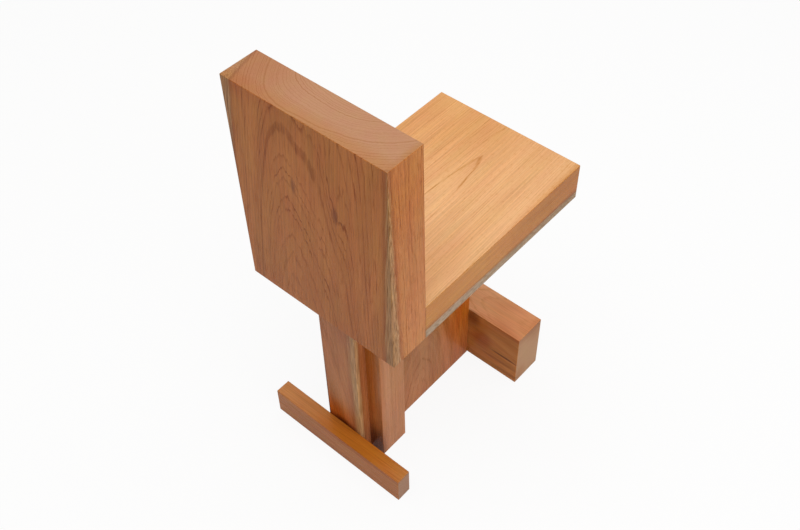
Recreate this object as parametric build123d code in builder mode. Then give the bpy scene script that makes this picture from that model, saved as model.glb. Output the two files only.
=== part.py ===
from build123d import *
import os

# Slab chair in solid wood: six thick boards, held by hidden loose tenons and dowels.
# The chair faces -Y and stands on Z = 0, so the sitter's right is at -X.
# The origin lies on the floor, under the middle of the seat and the back together.
# Sizes are in millimetres.

# Seat and back slabs
slab_width = 300.0  # side to side, the same for both
seat_depth = 400.0  # from the back's front face to the front edge
seat_thickness = 74.0
back_height = 400.0
back_thickness = 74.0  # at the seat
back_top_thickness = 69.0  # the front face leans away above the seat
base_height = 400.0  # floor to the underside of both slabs

# Keel: the plank on edge that carries the slabs
keel_thickness = 78.0
keel_length = 308.0
keel_offset = 3.0  # towards the sitter's left

# Batten on the keel's side
batten_thickness = 31.0
batten_width = 61.0
batten_setback = 24.0  # in front of the keel's rear end

# Front foot, a little longer than the seat is wide
block_overhang = 4.0  # past each side of the seat
block_depth = 69.0
block_height = 130.0

# Rear foot, as long as the back is wide and flush with its rear face
bar_depth = 30.0
bar_height = 60.0

# Edges that a hand touches are eased, edges in a joint stay sharp
edge_ease = 1.2

# Joinery fits
glue_gap = 0.1  # on each side of a tenon or dowel
end_gap = 1.0  # at each end, so that glue has room
dowel_chamfer = 1.5

# Loose tenons between the back and the seat, in two rows of two
back_tenon_width = 96.0
back_tenon_thickness = 12.0
back_tenon_reach = 46.0  # into the seat
back_tenon_cover = 30.0  # wood left behind the mortises in the back

# Loose tenons on the keel's top edge
keel_tenon_thickness = 16.0
keel_tenon_reach = 50.0  # into the keel
keel_tenon_cover = 24.0  # wood left above the mortises in the slabs
seat_tenon_width = 90.0
seat_tenon_count = 2
back_foot_tenon_width = 26.0

# Loose tenons between the keel and the front foot
block_tenon_width = 60.0
block_tenon_thickness = 14.0
block_tenon_pitch = 36.0
block_tenon_reach = 48.0  # into the keel
block_tenon_cover = 27.0  # wood left in the front foot

# Dowels of the rear foot and the batten
dowel_diameter = 10.0
dowel_reach = 30.0  # into the keel
dowel_cover = 10.0  # wood left in the thinner piece
bar_dowel_pitch = 40.0
batten_dowel_count = 3

# Places worked out from the sizes above
chair_depth = back_thickness + seat_depth
rear_y = chair_depth / 2
seam_y = rear_y - back_thickness
front_y = rear_y - chair_depth
seat_top_z = base_height + seat_thickness
back_top_z = base_height + back_height
keel_rear_y = rear_y - bar_depth
keel_front_y = keel_rear_y - keel_length
keel_side_x = keel_offset - keel_thickness / 2
batten_y = keel_rear_y - batten_setback - batten_width / 2
block_length = slab_width + 2 * block_overhang
bar_length = slab_width

# Meeting faces of the boards, each seen from the keel or the seat outwards
back_seat_joint = Plane((0, seam_y, base_height + seat_thickness / 2), x_dir=(1, 0, 0), z_dir=(0, 1, 0))
seat_keel_joint = Plane((keel_offset, (seam_y + keel_front_y) / 2, base_height), x_dir=(0, 1, 0))
back_keel_joint = Plane((keel_offset, (seam_y + keel_rear_y) / 2, base_height), x_dir=(0, 1, 0))
block_joint = Plane((keel_offset, keel_front_y, block_height / 2), x_dir=(0, 0, 1), z_dir=(0, -1, 0))
bar_joint = Plane((keel_offset, keel_rear_y, bar_height / 2), x_dir=(1, 0, 0), z_dir=(0, 1, 0))
batten_joint = Plane((keel_side_x, batten_y, base_height / 2), x_dir=(0, 0, 1), z_dir=(-1, 0, 0))

# Depths of the mortises and holes beyond each meeting face
back_mortise = back_thickness - back_tenon_cover
seat_mortise = seat_thickness - keel_tenon_cover
block_mortise = block_depth - block_tenon_cover
bar_hole = bar_depth - dowel_cover
batten_hole = batten_thickness - dowel_cover

# Spacing of the tenons and dowels
back_tenon_pitch = slab_width / 2
back_tenon_rise = seat_thickness / 2
seat_tenon_pitch = (seam_y - keel_front_y) / seat_tenon_count
batten_dowel_pitch = base_height / (batten_dowel_count + 1)


# Outlines across each joint, the size of the piece plus a gap all round
def back_tenon_outline(face, gap=0.0):
    with BuildSketch(face) as outline:
        with GridLocations(back_tenon_pitch, back_tenon_rise, 2, 2):
            SlotOverall(back_tenon_width + 2 * gap, back_tenon_thickness + 2 * gap)
    return outline.sketch


def seat_tenon_outline(face, gap=0.0):
    with BuildSketch(face) as outline:
        with GridLocations(seat_tenon_pitch, 0, seat_tenon_count, 1):
            SlotOverall(seat_tenon_width + 2 * gap, keel_tenon_thickness + 2 * gap)
    return outline.sketch


def back_foot_outline(face, gap=0.0):
    with BuildSketch(face) as outline:
        SlotOverall(back_foot_tenon_width + 2 * gap, keel_tenon_thickness + 2 * gap)
    return outline.sketch


def block_tenon_outline(face, gap=0.0):
    with BuildSketch(face) as outline:
        with GridLocations(0, block_tenon_pitch, 1, 2):
            SlotOverall(block_tenon_width + 2 * gap, block_tenon_thickness + 2 * gap)
    return outline.sketch


def bar_dowel_outline(face, gap=0.0):
    with BuildSketch(face) as outline:
        with GridLocations(bar_dowel_pitch, 0, 2, 1):
            Circle(dowel_diameter / 2 + gap)
    return outline.sketch


def batten_dowel_outline(face, gap=0.0):
    with BuildSketch(face) as outline:
        with GridLocations(batten_dowel_pitch, 0, batten_dowel_count, 1):
            Circle(dowel_diameter / 2 + gap)
    return outline.sketch


# A mortise or hole beyond the meeting face has a positive depth, one before it a negative depth
def cut_pockets(outline, face, depth):
    extrude(outline(face, glue_gap), amount=depth, mode=Mode.SUBTRACT)


# Tenons and dowels run through the meeting face and stop short of both pocket floors
def add_pegs(outline, face, depth_before, depth_beyond):
    start = face.offset(end_gap - depth_before)
    length = depth_before + depth_beyond - 2 * end_gap
    extrude(outline(start), amount=length)


def save(piece, name):
    piece.part.label = name
    export_step(piece.part, f"parts/{name}.step")


os.makedirs("parts", exist_ok=True)

# Backrest: upright up to the seat's top, then its front face leans back
with BuildPart() as backrest:
    with BuildSketch(Plane.YZ):
        with BuildLine():
            Polyline(
                (rear_y, base_height),
                (rear_y, back_top_z),
                (rear_y - back_top_thickness, back_top_z),
                (seam_y, seat_top_z),
                (seam_y, base_height),
                close=True,
            )
        make_face()
    extrude(amount=slab_width / 2, both=True)
    seat_contact = backrest.faces().filter_by_position(Axis.Y, seam_y, seam_y)
    fillet(backrest.edges() - seat_contact.edges(), edge_ease)
    cut_pockets(back_tenon_outline, back_seat_joint, back_mortise)
    cut_pockets(back_foot_outline, back_keel_joint, seat_mortise)
save(backrest, "backrest")

# Seat: a plain slab whose rear end butts against the backrest
with BuildPart() as seat:
    with BuildSketch(Plane.XY.offset(base_height)):
        with Locations((0, (seam_y + front_y) / 2)):
            Rectangle(slab_width, seat_depth)
    extrude(amount=seat_thickness)
    back_contact = seat.faces().sort_by(Axis.Y)[-1]
    fillet(seat.edges() - back_contact.edges(), edge_ease)
    cut_pockets(back_tenon_outline, back_seat_joint, -back_tenon_reach)
    cut_pockets(seat_tenon_outline, seat_keel_joint, seat_mortise)
save(seat, "seat")

# Keel: the plank on edge, with all the joints of the base
with BuildPart() as keel:
    with BuildSketch(Plane.XY):
        with Locations((keel_offset, (keel_rear_y + keel_front_y) / 2)):
            Rectangle(keel_thickness, keel_length)
    extrude(amount=base_height)
    fillet(keel.edges().filter_by(Axis.Z), edge_ease)
    cut_pockets(seat_tenon_outline, seat_keel_joint, -keel_tenon_reach)
    cut_pockets(back_foot_outline, back_keel_joint, -keel_tenon_reach)
    cut_pockets(block_tenon_outline, block_joint, -block_tenon_reach)
    cut_pockets(bar_dowel_outline, bar_joint, -dowel_reach)
    cut_pockets(batten_dowel_outline, batten_joint, -dowel_reach)
save(keel, "keel")

# Batten: floor to slabs, face to face with the keel
with BuildPart() as side_batten:
    with BuildSketch(Plane.XY):
        with Locations((keel_side_x - batten_thickness / 2, batten_y)):
            Rectangle(batten_thickness, batten_width)
    extrude(amount=base_height)
    keel_contact = side_batten.faces().sort_by(Axis.X)[-1]
    fillet(side_batten.edges().filter_by(Axis.Z) - keel_contact.edges(), edge_ease)
    cut_pockets(batten_dowel_outline, batten_joint, batten_hole)
save(side_batten, "side_batten")

# Front foot
with BuildPart() as front_block:
    with BuildSketch(Plane.XY):
        with Locations((0, keel_front_y - block_depth / 2)):
            Rectangle(block_length, block_depth)
    extrude(amount=block_height)
    fillet(front_block.edges(), edge_ease)
    cut_pockets(block_tenon_outline, block_joint, block_mortise)
save(front_block, "front_block")

# Rear foot
with BuildPart() as rear_bar:
    with BuildSketch(Plane.XY):
        with Locations((0, rear_y - bar_depth / 2)):
            Rectangle(bar_length, bar_depth)
    extrude(amount=bar_height)
    fillet(rear_bar.edges(), edge_ease)
    cut_pockets(bar_dowel_outline, bar_joint, bar_hole)
save(rear_bar, "rear_bar")

# Loose tenons, cut square from a strip with round edges
with BuildPart() as back_seat_tenons:
    add_pegs(back_tenon_outline, back_seat_joint, back_tenon_reach, back_mortise)
save(back_seat_tenons, "back_seat_tenons")

with BuildPart() as seat_keel_tenons:
    add_pegs(seat_tenon_outline, seat_keel_joint, keel_tenon_reach, seat_mortise)
save(seat_keel_tenons, "seat_keel_tenons")

with BuildPart() as back_keel_tenon:
    add_pegs(back_foot_outline, back_keel_joint, keel_tenon_reach, seat_mortise)
save(back_keel_tenon, "back_keel_tenon")

with BuildPart() as front_block_tenons:
    add_pegs(block_tenon_outline, block_joint, block_tenon_reach, block_mortise)
save(front_block_tenons, "front_block_tenons")

# Dowels, with both ends chamfered
with BuildPart() as rear_bar_dowels:
    add_pegs(bar_dowel_outline, bar_joint, dowel_reach, bar_hole)
    chamfer(rear_bar_dowels.edges().filter_by(GeomType.CIRCLE), dowel_chamfer)
save(rear_bar_dowels, "rear_bar_dowels")

with BuildPart() as batten_dowels:
    add_pegs(batten_dowel_outline, batten_joint, dowel_reach, batten_hole)
    chamfer(batten_dowels.edges().filter_by(GeomType.CIRCLE), dowel_chamfer)
save(batten_dowels, "batten_dowels")
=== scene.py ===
import math
from collections import namedtuple

import bmesh
import bpy
from mathutils import Matrix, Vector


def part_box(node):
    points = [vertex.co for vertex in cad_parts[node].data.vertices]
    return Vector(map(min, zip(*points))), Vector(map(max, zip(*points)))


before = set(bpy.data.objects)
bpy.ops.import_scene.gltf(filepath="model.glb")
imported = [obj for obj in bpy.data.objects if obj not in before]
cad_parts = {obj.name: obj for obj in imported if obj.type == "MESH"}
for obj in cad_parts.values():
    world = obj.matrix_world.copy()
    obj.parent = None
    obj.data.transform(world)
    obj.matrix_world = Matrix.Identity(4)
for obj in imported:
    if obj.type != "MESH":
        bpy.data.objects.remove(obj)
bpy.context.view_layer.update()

# Keel
# The plank on edge that carries seat and back: solid teak, sawn with its grain upright.
# It is planed, sanded and oiled, and every other board of the base is fixed to it.


def linear(code):
    """An sRGB hex colour as linear red, green, blue and alpha."""
    levels = [int(code[i:i + 2], 16) / 255 for i in (1, 3, 5)]
    return [v / 12.92 if v <= 0.04045 else ((v + 0.055) / 1.055) ** 2.4 for v in levels] + [1.0]


def add(tree, kind, inputs=(), **settings):
    """Adds a node, sets or links its open inputs, in order or by name, and returns its first output."""
    node = tree.nodes.new("ShaderNode" + kind)
    for name, value in settings.items():
        setattr(node, name, value)
    if isinstance(inputs, dict):
        pairs = [(node.inputs[name], value) for name, value in inputs.items()]
    else:
        pairs = zip([socket for socket in node.inputs if socket.enabled], inputs)
    for socket, value in pairs:
        if isinstance(value, bpy.types.NodeSocket):
            tree.links.new(value, socket)
        else:
            socket.default_value = value
    return next((socket for socket in node.outputs if socket.enabled), None)


def bare_tree(owner):
    """Empties the nodes of a material or a world and returns its tree."""
    owner.use_nodes = True
    owner.node_tree.nodes.clear()
    return owner.node_tree


def dress(node, material):
    """Gives a piece of the frame its finish."""
    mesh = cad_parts[node].data
    mesh.materials.clear()
    mesh.materials.append(material)


# Marks on a board, with places in metres and reaches in mm along X, Y and Z.
# Some tinted patches are real stains, and some are painted light or shade. A swirl lifts the rings by some
# mm, and a patch's depth goes from 0 to 1. Sapwood begins at a round line: it has a point of the line's
# axis, the axis's tilt in degrees, and the line's radius and fade in mm.
Swirl = namedtuple("Swirl", "place reach lift")
StainOrShade = namedtuple("StainOrShade", "place reach depth tint")
Sapwood = namedtuple("Sapwood", "middle tilt radius fade")

MM = 0.001
ALONG_Z = (0.0, 0.0, 0.0)  # the turn of a trunk that stands upright, as its own Z does
NOISE_LOW = 0.3  # noise stays mostly above this
NOISE_HIGH = 0.7  # and below this


def tilted(turn, degrees):
    """A turn with some degrees added about each axis."""
    return tuple(angle + math.radians(more) for angle, more in zip(turn, degrees))


def in_trunk(tree, place, middle, turn):
    """A place in mm from a point of a trunk's middle line, with Z along the trunk."""
    return add(tree, "Mapping", (place, middle, turn, (MM, MM, MM)), vector_type="TEXTURE")


def in_oval(tree, place, middle, reach):
    """How far out in an oval zone a place lies, from 0 at its middle to 1 where its reach ends."""
    sizes = [size * MM for size in reach]
    zone = add(tree, "Mapping", (place, middle, (0, 0, 0), sizes), vector_type="TEXTURE")
    return add(tree, "VectorMath", (zone,), operation="LENGTH")


def streaks(tree, trunk, width, length, detail, roughness=0.5):
    """Noise drawn out along the grain, in streaks of about a width and a length in mm."""
    drawn_out = add(tree, "VectorMath", (trunk, (1, 1, width / length)), operation="MULTIPLY")
    return add(tree, "TexNoise", (drawn_out, 1 / width, detail, roughness))


def ring_age(tree, place, trunk, taper, wander, swirls):
    """The growth in mm from the pith out, which is the same all along a ring.

    Rings stray from circles slowly over a hand's width, quickly over a finger's, and in fine ripples.
    """
    slow_bend = (wander, wander, 0)
    quick_bend = (0.35 * wander, 0.35 * wander, 0)
    ripple_bend = 0.27 * wander
    centred = (-wander / 2, -wander / 2, 0)
    slow = streaks(tree, trunk, width=95, length=432, detail=1.0, roughness=0.4).node.outputs["Color"]
    quick = streaks(tree, trunk, width=20, length=125, detail=2.0).node.outputs["Color"]
    ripple = streaks(tree, trunk, width=4.5, length=37.5, detail=1.0)
    bent = add(tree, "VectorMath", (slow, slow_bend, centred), operation="MULTIPLY_ADD")
    bent = add(tree, "VectorMath", (quick, quick_bend, bent), operation="MULTIPLY_ADD")
    across = add(tree, "VectorMath", (trunk, (1, 1, 0), bent), operation="MULTIPLY_ADD")
    radius = add(tree, "VectorMath", (across,), operation="LENGTH")
    along = add(tree, "SeparateXYZ", (trunk,)).node.outputs["Z"]
    age = add(tree, "Math", (along, taper, radius), operation="MULTIPLY_ADD")
    age = add(tree, "Math", (ripple, ripple_bend, age), operation="MULTIPLY_ADD")
    for swirl in swirls:
        away = in_oval(tree, place, swirl.place, swirl.reach)
        rise = add(tree, "MapRange", (away, 0.0, 1.0, swirl.lift, 0.0), interpolation_type="SMOOTHERSTEP")
        age = add(tree, "Math", (age, rise), operation="ADD")
    return age


def year_lines(tree, age, ring, line_from):
    """The thin dark line at the end of each year, from 0 to 1, in years of uneven width."""
    spell_years = 10 / 3  # the length of a good or a poor spell
    spell_shift = 2.2  # how many years a spell moves the lines by, at most
    darkest = 0.9  # the share of a year after which its line fades again
    faintest_year = 0.3
    spell = add(tree, "TexNoise", (age, 1 / (spell_years * ring), 2.0, 0.5), noise_dimensions="1D")
    shift = add(tree, "Math", (spell, spell_shift), operation="MULTIPLY")
    years = add(tree, "Math", (age, 1 / ring, shift), operation="MULTIPLY_ADD")
    season = add(tree, "Math", (years,), operation="FRACT")
    year = add(tree, "Math", (years,), operation="FLOOR")
    weight = add(tree, "TexWhiteNoise", (year,), noise_dimensions="1D")
    weight = add(tree, "MapRange", (weight, 0.0, 1.0, faintest_year, 1.0))
    late = add(tree, "MapRange", (season, line_from, darkest, 0.0, 1.0), interpolation_type="SMOOTHSTEP")
    early = add(tree, "MapRange", (season, darkest, 1.0, 1.0, 0.0), interpolation_type="SMOOTHSTEP")
    line = add(tree, "Math", (late, early), operation="MULTIPLY")
    return add(tree, "Math", (line, weight), operation="MULTIPLY")


def with_sapwood(tree, wood, place, grain, zones, sap, vessels, fibre):
    """Lays sapwood over the wood: pale and streaky, behind a ragged edge with a dark rim."""
    ragged = 9.0  # mm
    rim_width = 4.0  # mm
    rim_depth = 1.6  # spread over the mm of the fade, so that a sharper edge has a darker rim
    cover = 0.95
    streak_depth = 0.7
    rim_tint = linear("#A08670")
    streak_tint = linear("#B9AFA4")
    streak = add(tree, "MapRange", (vessels, 0.4, 0.62, 0.0, streak_depth))
    pale = add(tree, "Mix", (streak, linear(sap), streak_tint), data_type="RGBA", blend_type="MULTIPLY")
    for zone in zones:
        bark = zone.radius
        across = in_trunk(tree, place, zone.middle, tilted(grain, zone.tilt))
        across = add(tree, "VectorMath", (across, (1, 1, 0)), operation="MULTIPLY")
        out = add(tree, "VectorMath", (across,), operation="LENGTH")
        out = add(tree, "Math", (fibre, ragged, out), operation="MULTIPLY_ADD")
        rim = (out, bark - rim_width, bark, 0.0, rim_depth / zone.fade)
        rim = add(tree, "MapRange", rim, interpolation_type="SMOOTHSTEP")
        rind = (out, bark, bark + zone.fade, 0.0, cover)
        rind = add(tree, "MapRange", rind, interpolation_type="SMOOTHSTEP")
        wood = add(tree, "Mix", (rim, wood, rim_tint), data_type="RGBA", blend_type="MULTIPLY")
        wood = add(tree, "Mix", (rind, wood, pale), data_type="RGBA")
    return wood


def with_stains_and_shade(tree, wood, place, stains_and_shade, vessels):
    """Lays real stains and painted light or shade over the wood. They fade out at about their reach,
    and run on a little in vessels.
    """
    run = 0.4  # how far vessels carry a patch at most, as a share of its reach
    faded = 0.8  # where a patch ends without vessels, as the same share
    for stain_or_shade in stains_and_shade:
        away = in_oval(tree, place, stain_or_shade.place, stain_or_shade.reach)
        away = add(tree, "Math", (vessels, -run, away), operation="MULTIPLY_ADD")
        dark = (away, 0.0, faded, stain_or_shade.depth, 0.0)
        dark = add(tree, "MapRange", dark, interpolation_type="SMOOTHSTEP")
        wood = add(tree, "Mix", (dark, wood, linear(stain_or_shade.tint)), data_type="RGBA", blend_type="MULTIPLY")
    return wood


def oiled_teak(name, grain, pith, ring, taper, tones, lean=(0, 0, 0), wander=8.0, swirls=(), stains_and_shade=(),
               sapwood=(), sap=None, lines=1.0, end_lines=0.8, line_from=0.66, dash=40.0, side_shade=None):
    """Solid teak, planed and oiled, with growth rings about a trunk's pith, so all faces of a board agree.

    Oil gives planed teak a deep warm brown and a soft, low sheen, with fine dark lines and matt pores.

    grain turns the trunk along the board, and lean adds some degrees. pith is a point of the trunk's
    middle line in metres, ring the usual width of a year in mm, and taper how many mm the rings widen per
    mm of trunk. tones are the light and the deep heartwood and the end grain, and sap is the sapwood's
    colour. wander is how far the rings stray from circles, in mm. lines and end_lines are how dark the
    year lines are along the grain and on end grain, line_from is the share of a year after which its line
    begins, and dash is a vessel's length in mm. The last argument tints the faces that don't look up
    darker, as painted shade.
    """
    material = bpy.data.materials.new(name)
    tree = bare_tree(material)
    light, deep, end_tone = [linear(tone) for tone in tones]
    coordinates = add(tree, "TexCoord").node.outputs
    place = coordinates["Object"]
    normal = coordinates["Normal"]
    turn = tilted(grain, lean)
    trunk = in_trunk(tree, place, pith, turn)
    age = ring_age(tree, place, trunk, taper, wander, swirls)
    year_line = year_lines(tree, age, ring, line_from)

    # Along the grain the year lines come and go, among the vessels.
    # Real vessels are about 0.3 mm wide, so they are drawn several times wider, to show.
    pore_depth = 0.4
    gap_depth = 0.25
    vessels = streaks(tree, trunk, width=1.5, length=dash, detail=1.0)
    pores = add(tree, "MapRange", (vessels, 0.52, 0.74, 0.0, pore_depth), interpolation_type="SMOOTHSTEP")
    gaps = streaks(tree, trunk, width=8, length=80, detail=2.0, roughness=0.6)
    gaps = add(tree, "MapRange", (gaps, 0.36, 0.6, gap_depth, 1.0), interpolation_type="SMOOTHSTEP")
    drawn = add(tree, "Math", (year_line, gaps), operation="MULTIPLY")
    drawn = add(tree, "Math", (drawn, pores), operation="ADD")
    drawn = add(tree, "Math", (drawn, lines), operation="MULTIPLY", use_clamp=True)

    # End grain, cut across the fibres: it shows whole rings, and looks greyer and duller than the sides.
    # The cosine of a face's angle to the trunk tells how much of it is end grain.
    slanted = 0.6
    square = 0.95
    turned = {"Vector": normal, "Rotation": turn}
    facing = add(tree, "VectorRotate", turned, rotation_type="EULER_XYZ", invert=True)
    end = add(tree, "SeparateXYZ", (facing,)).node.outputs["Z"]
    end = add(tree, "Math", (end,), operation="ABSOLUTE")
    end = add(tree, "MapRange", (end, slanted, square, 0.0, 1.0), interpolation_type="SMOOTHSTEP")
    arcs = add(tree, "Math", (year_line, end_lines), operation="MULTIPLY")
    marks = add(tree, "Mix", (end, drawn, arcs))

    # Heartwood: bands of several years, with patches where the whole board is lighter or deeper
    band_years = 6.25
    sloping = 0.7  # the upward part of a face's normal, up to which it counts as a side
    band = add(tree, "TexNoise", (age, 1 / (band_years * ring), 3.0, 0.6), noise_dimensions="1D")
    patch = streaks(tree, trunk, width=70, length=233, detail=2.0)
    shade = add(tree, "Math", (band, patch), operation="ADD")
    shade = add(tree, "MapRange", (shade, 0.7, 1.3, 0.0, 1.0), interpolation_type="SMOOTHSTEP")
    wood = add(tree, "Mix", (shade, light, deep), data_type="RGBA")
    # Painted shade: faces that don't look up are tinted darker than those that do
    if side_shade:
        shaded_side = add(tree, "SeparateXYZ", (normal,)).node.outputs["Z"]
        shaded_side = add(tree, "MapRange", (shaded_side, sloping, square, 1.0, 0.0), interpolation_type="SMOOTHSTEP")
        wood = add(tree, "Mix", (shaded_side, wood, linear(side_shade)), data_type="RGBA", blend_type="MULTIPLY")
    wood = add(tree, "Mix", (end, wood, end_tone), data_type="RGBA")

    # Fibres vary the tone, less on end grain, and the hue varies in wider patches.
    # Real fibres are too fine to show, so bundles of them are drawn.
    contrast = 0.12
    end_contrast = 0.3 * contrast
    hue_swing = 0.004
    fibre = streaks(tree, trunk, width=2.0, length=143, detail=2.0)
    swing = add(tree, "MapRange", (fibre, NOISE_LOW, NOISE_HIGH, -1.0, 1.0))
    calm = add(tree, "MapRange", (end, 0.0, 1.0, contrast, end_contrast))
    value = add(tree, "Math", (swing, calm, 1.0), operation="MULTIPLY_ADD")
    cast = streaks(tree, trunk, width=22, length=73, detail=2.0)
    hue = add(tree, "MapRange", (cast, NOISE_LOW, NOISE_HIGH, 0.5 - hue_swing, 0.5 + hue_swing))

    # Sapwood, real stains and painted light or shade lie on the heartwood, and the year lines and the
    # fibres on everything
    line_tint = linear("#C4A200")
    if sapwood:
        wood = with_sapwood(tree, wood, place, grain, sapwood, sap, vessels, fibre)
    wood = with_stains_and_shade(tree, wood, place, stains_and_shade, vessels)
    wood = add(tree, "Mix", (marks, wood, line_tint), data_type="RGBA", blend_type="MULTIPLY")
    wood = add(tree, "HueSaturation", {"Hue": hue, "Value": value, "Color": wood})

    # An oiled face is satin, with sunken lines and matt pores, and end grain soaks up more of the oil
    satin = 0.26
    pore_matt = 0.4
    end_matt = 0.14  # added on end grain
    sheen = 0.1
    line_sink = 0.2 * MM
    dull = add(tree, "MapRange", (pores, 0.0, pore_depth, satin, pore_matt))
    dull = add(tree, "Math", (end, end_matt, dull), operation="MULTIPLY_ADD")
    relief = add(tree, "Bump", {"Strength": 0.25, "Distance": line_sink, "Height": marks}, invert=True)
    finish = {
        "Base Color": wood, "Roughness": dull, "Normal": relief, "IOR": 1.5, "Specular IOR Level": sheen}
    add(tree, "OutputMaterial", {"Surface": add(tree, "BsdfPrincipled", finish)})
    return material


keel_low, keel_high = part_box("keel")  # low is the sitter's right, front and bottom, and high is opposite
bar_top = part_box("rear_bar")[1].z
keel_tones = ("#BF7A4E", "#A66436", "#B88A68")
keel_sapwood = Sapwood((0.10, 0.0, 0.2), tilt=(0, 0, 0), radius=243.5, fade=5.0)
flame = Swirl((keel_low.x, 0.02, 0.09), (70, 90, 200), lift=-14.0)
# Painted light: a warm orange glow on the keel's rear face just above the bar, as bounce light from the
# bar
painted_foot_glow = StainOrShade((0.03, keel_high.y, bar_top), (70, 30, 90), depth=1.0, tint="#FFCC70")
# Painted light: saturated orange on the keel's side next to the front block, as bounce light and
# reflection from the block
painted_corner_glow = StainOrShade((keel_low.x, keel_low.y, 0.17), (20, 115, 200), depth=1.0, tint="#FFD87A")
# Painted reflection: a cooler veil over the keel's side, as the sheen of the white floor
painted_floor_sheen = StainOrShade((keel_low.x, 0.03, 0.2), (10, 120, 300), depth=0.8, tint="#E6FAFF")
# Painted shade: darker along the keel's rear face just above the rear bar, where the two meet
painted_contact_shade = StainOrShade((0.006, keel_high.y, bar_top - 0.002), (52, 10, 24), depth=0.9, tint="#6E4630")
# Painted shade: a thin dark line down the keel's rear face at its left edge
painted_edge_shade = StainOrShade((keel_high.x + 0.0005, keel_high.y, 0.10), (5, 12, 220), depth=0.9, tint="#6E4E3C")
dress("keel", oiled_teak(
    "Oiled teak, keel plank", ALONG_Z, pith=(0.11, 0.06, 0.2), ring=3.4, taper=0.12, tones=keel_tones,
    swirls=(flame,), stains_and_shade=(painted_foot_glow, painted_corner_glow, painted_floor_sheen, painted_contact_shade, painted_edge_shade),
    sapwood=(keel_sapwood,), sap="#C59769", lines=0.7))

# Side batten
# A square-cut teak batten, floor to slabs, that thickens the keel on the sitter's right.
# It is planed and oiled like the keel, and dowelled and glued to its side.
batten_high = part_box("side_batten")[1]
batten_rear = batten_high.y + 0.002
batten_tones = ("#BC805B", "#B1754C", "#C39A78")
# Partly painted shade of the recess between keel and batten, and partly a darker streak in the wood, over
# the batten's rear face
recess_shade_and_streak = StainOrShade((batten_high.x - 0.006, batten_rear, 0.3), (46, 20, 520), depth=0.82, tint="#E6B400")
# Painted shade: darker towards the foot of the batten's rear face, next to the bar
painted_foot_shade = StainOrShade((batten_high.x - 0.014, batten_rear, 0.0), (40, 20, 110), depth=0.72, tint="#7C6264")
dress("side_batten", oiled_teak(
    "Oiled teak, side batten", ALONG_Z, pith=(0.12, 0.02, 0.2), ring=3.0, taper=0.02, tones=batten_tones,
    stains_and_shade=(recess_shade_and_streak, painted_foot_shade), lines=0.4))

# Front block
# The front foot: a thick teak beam laid across the keel's front end, grain side to side.
# It is planed and oiled, and held by loose tenons. Its faces that don't look up carry painted shade.
ALONG_X = (0.0, math.radians(90), 0.0)  # the turn of a trunk that lies from side to side
block_low, block_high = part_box("front_block")
block_tones = ("#FFC494", "#E6A470", "#B08663")
curl = Swirl((-0.165, block_high.y, 0.045), (95, 60, 95), lift=-16.0)
# Painted shade: darker on the block's rear face next to the keel, under the seat
painted_corner_shade = StainOrShade((-0.045, block_high.y, 0.115), (26, 6, 40), depth=0.6, tint="#8A5F48")
dark_vein = StainOrShade((-0.124, block_high.y, 0.055), (44, 6, 3.5), depth=0.9, tint="#6E4A3C")
soft_vein = StainOrShade((-0.112, block_high.y, 0.034), (60, 6, 6), depth=0.5, tint="#A07058")
dark_bottom = StainOrShade((-0.13, block_high.y, 0.012), (60, 10, 8), depth=0.4, tint="#8A5F48")
# Painted light and shade: darker, more orange on the block's rear face near the keel, as shade with bounce
# light from the keel
painted_block_glow = StainOrShade((-0.070, block_high.y, 0.07), (34, 8, 40), depth=0.5, tint="#CC8458")
brown_end = StainOrShade((block_low.x, -0.160, 0.115), (16, 44, 44), depth=0.5, tint="#E6CDB4")
ruddy_foot = StainOrShade((block_low.x, -0.112, 0.018), (16, 24, 30), depth=0.5, tint="#E8BE98")
# Painted light and shade: the block's base tones are light, and this darkens its top about the middle, so
# that the part in the seat's shadow looks as bright as the rest
painted_top_shade = StainOrShade((-0.13, -0.135, block_high.z), (110, 80, 30), depth=1.0, tint="#E8D6C8")
block_stains_and_shade = (
    painted_corner_shade, dark_vein, soft_vein, dark_bottom, painted_block_glow, brown_end, ruddy_foot, painted_top_shade)
# The side tint is painted shade on the block's faces that don't look up
dress("front_block", oiled_teak(
    "Oiled teak, front block", ALONG_X, pith=(0.0, -0.14, 0.30), ring=4.0, taper=0.06, tones=block_tones,
    wander=4.0, swirls=(curl,), stains_and_shade=block_stains_and_shade, lines=0.4, side_shade="#CCB88A"))

# Rear bar
# The rear foot: a slim teak bar across the keel's rear end, grain side to side.
# It is planed and oiled, and held by dowels.
bar_tones = ("#CC8A50", "#BF7C44", "#9E7760")
# Painted light and shade: a deeper orange over the bar from the keel towards its right end, as bounce
# light from the keel in shade
painted_bar_glow = StainOrShade((-0.035, 0.222, bar_top + 0.002), (165, 90, 22), depth=1.0, tint="#EACC7C")
# The side tint is painted shade on the bar's faces that don't look up
dress("rear_bar", oiled_teak(
    "Oiled teak, rear bar", ALONG_X, pith=(0.0, 0.30, -0.12), ring=3.0, taper=0.03, tones=bar_tones,
    stains_and_shade=(painted_bar_glow,), lines=0.5, side_shade="#E8DAD4"))

# Seat
# A thick teak slab, grain front to back, planed flat and oiled. Its top is a golden tan, and its sides
# carry painted shade.
# Its rear end butts against the backrest, and loose tenons hold it there and on the keel.
ALONG_Y = (math.radians(-90), 0.0, 0.0)  # the turn of a trunk that lies from front to back
seat_low, seat_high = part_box("seat")
seat_tones = ("#E2AF7D", "#D7A16E", "#BE8C5C")
seat_sapwood = Sapwood((0.10, 0.0, 0.70), tilt=(0, 0, -0.5), radius=381.0, fade=3.0)
golden_front = StainOrShade((seat_high.x, seat_low.y, seat_high.z), (330, 330, 80), depth=0.6, tint="#F2DEBC")
brown_side = StainOrShade((seat_low.x, seat_low.y, 0.44), (12, 300, 90), depth=0.8, tint="#E2CCA8")
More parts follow.
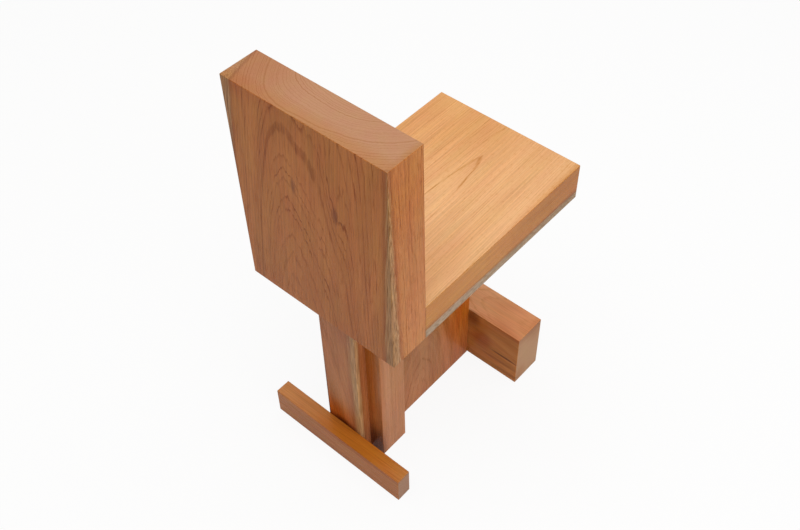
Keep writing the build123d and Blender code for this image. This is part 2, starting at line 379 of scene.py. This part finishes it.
# The side tint is painted shade on the seat's faces that don't look up
dress("seat", oiled_teak(
    "Oiled teak, seat slab", ALONG_Y, pith=(-0.015, 0.08, 0.534), ring=4.0, taper=-0.03, tones=seat_tones,
    lean=(0, 0, 1), wander=4.0, stains_and_shade=(golden_front, brown_side), sapwood=(seat_sapwood,), sap="#B29A80",
    lines=0.7, end_lines=1.0, line_from=0.8, dash=8.0, side_shade="#DCC292"))

# Backrest
# A thick teak slab, grain upright, so that its top shows end grain in wide arcs. It is planed and oiled.
# Its front leans back a little above the seat, and loose tenons hold it to the seat and on the keel.
back_low, back_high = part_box("backrest")
back_tones = ("#C27E49", "#B6723D", "#AD7E5E")
back_pith = (0.006, 0.072, 0.6)
arch = Swirl((0.075, back_high.y, 0.62), (95, 150, 650), lift=-16.0)
valley = Swirl((-0.050, back_high.y, 0.68), (34, 60, 200), lift=8.0)
straight = Swirl((back_low.x, back_high.y, back_low.z), (120, 150, 500), lift=14.0)
right_sapwood = Sapwood(back_pith, tilt=(0, -2.1, 0), radius=223.4, fade=5.0)
left_sapwood = Sapwood((-0.30, 0.072, 0.6), tilt=(0, -7, 0), radius=484.0, fade=5.0)
ruddy_end = StainOrShade((0.16, 0.2, back_high.z), (150, 120, 40), depth=0.8, tint="#EFD8C4")
ruddy_side = StainOrShade((back_low.x, 0.195, 0.74), (14, 60, 130), depth=0.8, tint="#F2E0AA")
brown_rear = StainOrShade((0.0, back_high.y, 0.6), (1200, 30, 1200), depth=1.0, tint="#FAEFD7")
brown_low = StainOrShade((0.0, back_high.y, 0.41), (300, 30, 150), depth=0.7, tint="#F2EAE4")
left_spot = StainOrShade((0.028, back_high.y, 0.667), (7, 10, 22), depth=0.5, tint="#8A5F50")
right_spot = StainOrShade((-0.051, back_high.y, 0.660), (7, 10, 26), depth=0.6, tint="#8A5F50")
dress("backrest", oiled_teak(
    "Oiled teak, back slab", ALONG_Z, pith=back_pith, ring=3.8, taper=0.08, tones=back_tones,
    lean=(0, -5, 0), swirls=(arch, valley, straight),
    stains_and_shade=(ruddy_end, ruddy_side, brown_rear, brown_low, left_spot, right_spot),
    sapwood=(right_sapwood, left_sapwood), sap="#BC9470", lines=1.2, end_lines=0.6))

# Loose tenons
# Flat strips of beech with round edges, cut to length and glued into mortises in both boards.
# They are planed and left bare, and are out of sight once the chair is together.


def bare_beech(name, grain):
    """Beech, planed or turned and left bare: a plain, matt, pinkish tan with short brown ray flecks."""
    material = bpy.data.materials.new(name)
    tree = bare_tree(material)
    pale, deep, brown = [linear(code) for code in ("#D9B48A", "#C79A6E", "#A06E45")]
    fleck_depth = 0.5
    fleck_sink = 0.1 * MM
    bare_matt = 0.6
    fleck_matt = 0.7
    place = add(tree, "TexCoord").node.outputs["Object"]
    strip = in_trunk(tree, place, (0, 0, 0), grain)

    # Ray flecks are drawn 0.8 mm wide, a little wider than they are, so that they show
    tone = streaks(tree, strip, width=6, length=60, detail=3.0, roughness=0.6)
    fleck = streaks(tree, strip, width=0.8, length=3.2, detail=1.0)
    fleck = add(tree, "MapRange", (fleck, 0.62, 0.72, 0.0, fleck_depth), interpolation_type="SMOOTHSTEP")
    wood = add(tree, "Mix", (tone, pale, deep), data_type="RGBA")
    wood = add(tree, "Mix", (fleck, wood, brown), data_type="RGBA")
    dull = add(tree, "MapRange", (fleck, 0.0, fleck_depth, bare_matt, fleck_matt))
    relief = add(tree, "Bump", {"Strength": 0.2, "Distance": fleck_sink, "Height": fleck}, invert=True)
    finish = {"Base Color": wood, "Roughness": dull, "Normal": relief, "IOR": 1.5}
    add(tree, "OutputMaterial", {"Surface": add(tree, "BsdfPrincipled", finish)})
    return material


dress("back_seat_tenons", bare_beech("Planed beech, tenons of the back", ALONG_Y))
dress("seat_keel_tenons", bare_beech("Planed beech, tenons of the seat", ALONG_Z))
dress("back_keel_tenon", bare_beech("Planed beech, foot tenon of the back", ALONG_Z))
dress("front_block_tenons", bare_beech("Planed beech, tenons of the front block", ALONG_Y))

# Dowels
# Turned beech rods with chamfered ends, glued into holes bored in the keel and the slim boards.
# They are out of sight once the chair is together.
dress("rear_bar_dowels", bare_beech("Turned beech, dowels of the rear bar", ALONG_Y))
dress("batten_dowels", bare_beech("Turned beech, dowels of the batten", ALONG_X))

# Floor
# A plain studio floor in matt paint, which gives an even white with no reflections.
# To the camera most of that white is its own, so that the chair's shadow stays and is faint.


def looked_at(tree, path):
    """1 on rays of the camera, of reflections and through glass, and 0 on rays that only bring light."""
    seen = add(tree, "Math", (path["Is Camera Ray"], path["Is Glossy Ray"]), operation="MAXIMUM")
    return add(tree, "Math", (seen, path["Is Transmission Ray"]), operation="MAXIMUM")


floor_size = 10.0
floor_white = linear("#F0EFED")
white = linear("#FFFFFF")
own_share = 0.9  # of the white that the camera sees, and light and shadow make the rest
mirrored_share = 0.2  # the same in reflections on the chair
shape = bmesh.new()
bmesh.ops.create_grid(shape, x_segments=1, y_segments=1, size=floor_size / 2)
floor_mesh = bpy.data.meshes.new("floor")
shape.to_mesh(floor_mesh)
shape.free()
floor = bpy.data.objects.new("floor", floor_mesh)
bpy.context.scene.collection.objects.link(floor)
paint = bpy.data.materials.new("White studio floor, matt paint")
tree = bare_tree(paint)
path = add(tree, "LightPath").node.outputs
own = add(tree, "Math", (looked_at(tree, path), own_share), operation="MULTIPLY")
own = add(tree, "Mix", (path["Is Glossy Ray"], own, mirrored_share))
matt = add(tree, "BsdfDiffuse", (floor_white,))
glow = add(tree, "Emission", (white, 1.0))
add(tree, "OutputMaterial", {"Surface": add(tree, "MixShader", (own, matt, glow))})
floor_mesh.materials.append(paint)

# Light
# Two soft boxes in a pale room: a wide one overhead, and one far out on the sitter's right.
# At this level a colour on top of the chair renders about as it is written.
bpy.context.scene.view_settings.view_transform = "Standard"
room_fill = 0.34  # the room's light on the chair
room_shown = 0.955  # the room as it looks, close to the floor's white
room = bpy.data.worlds.new("pale room")
tree = bare_tree(room)
fill = add(tree, "Background", (white, room_fill))
shown = add(tree, "Background", (white, room_shown))
seen = looked_at(tree, add(tree, "LightPath").node.outputs)
add(tree, "OutputWorld", {"Surface": add(tree, "MixShader", (seen, fill, shown))})
bpy.context.scene.world = room


def soft_box(name, width, depth, watts, place, tilt):
    """A flat lamp that the camera doesn't see. It shines down, and tilt turns it about Y, in degrees."""
    panel = bpy.data.lights.new(name, "AREA")
    panel.shape = "RECTANGLE"
    panel.size = width
    panel.size_y = depth
    panel.energy = watts
    lamp = bpy.data.objects.new(name, panel)
    lamp.location = place
    lamp.rotation_euler = (0.0, math.radians(tilt), 0.0)
    lamp.visible_camera = False
    bpy.context.scene.collection.objects.link(lamp)
    return lamp


overhead_place = (-0.3, 0.1, 2.8)
side_place = (-8.0, 0.1, 2.14)
soft_box("overhead soft box", width=4.2, depth=3.2, watts=74.0, place=overhead_place, tilt=0.0)
side_box = soft_box("side soft box", width=4.73, depth=4.73, watts=195.0, place=side_place, tilt=-78.0)
side_box.visible_glossy = False  # oiled faces that look its way keep their depth of colour

# Camera
# It stands behind the chair on the sitter's right and looks down steeply, with a slight roll.
camera_place = (-0.7741, 0.9096, 1.6682)
camera_heading = math.radians(222.063)
camera_dip = math.radians(48.474)
camera_roll = math.radians(-1.411)
camera_data = bpy.data.cameras.new("camera")
camera_data.sensor_fit = "HORIZONTAL"
camera_data.sensor_width = 36.0
camera_data.lens = 46.90
camera = bpy.data.objects.new("camera", camera_data)
camera.matrix_world = (
    Matrix.Translation(camera_place)
    @ Matrix.Rotation(camera_heading, 4, "Z")
    @ Matrix.Rotation(math.radians(90) - camera_dip, 4, "X")
    @ Matrix.Rotation(camera_roll, 4, "Z")
)
bpy.context.scene.collection.objects.link(camera)
bpy.context.scene.camera = camera
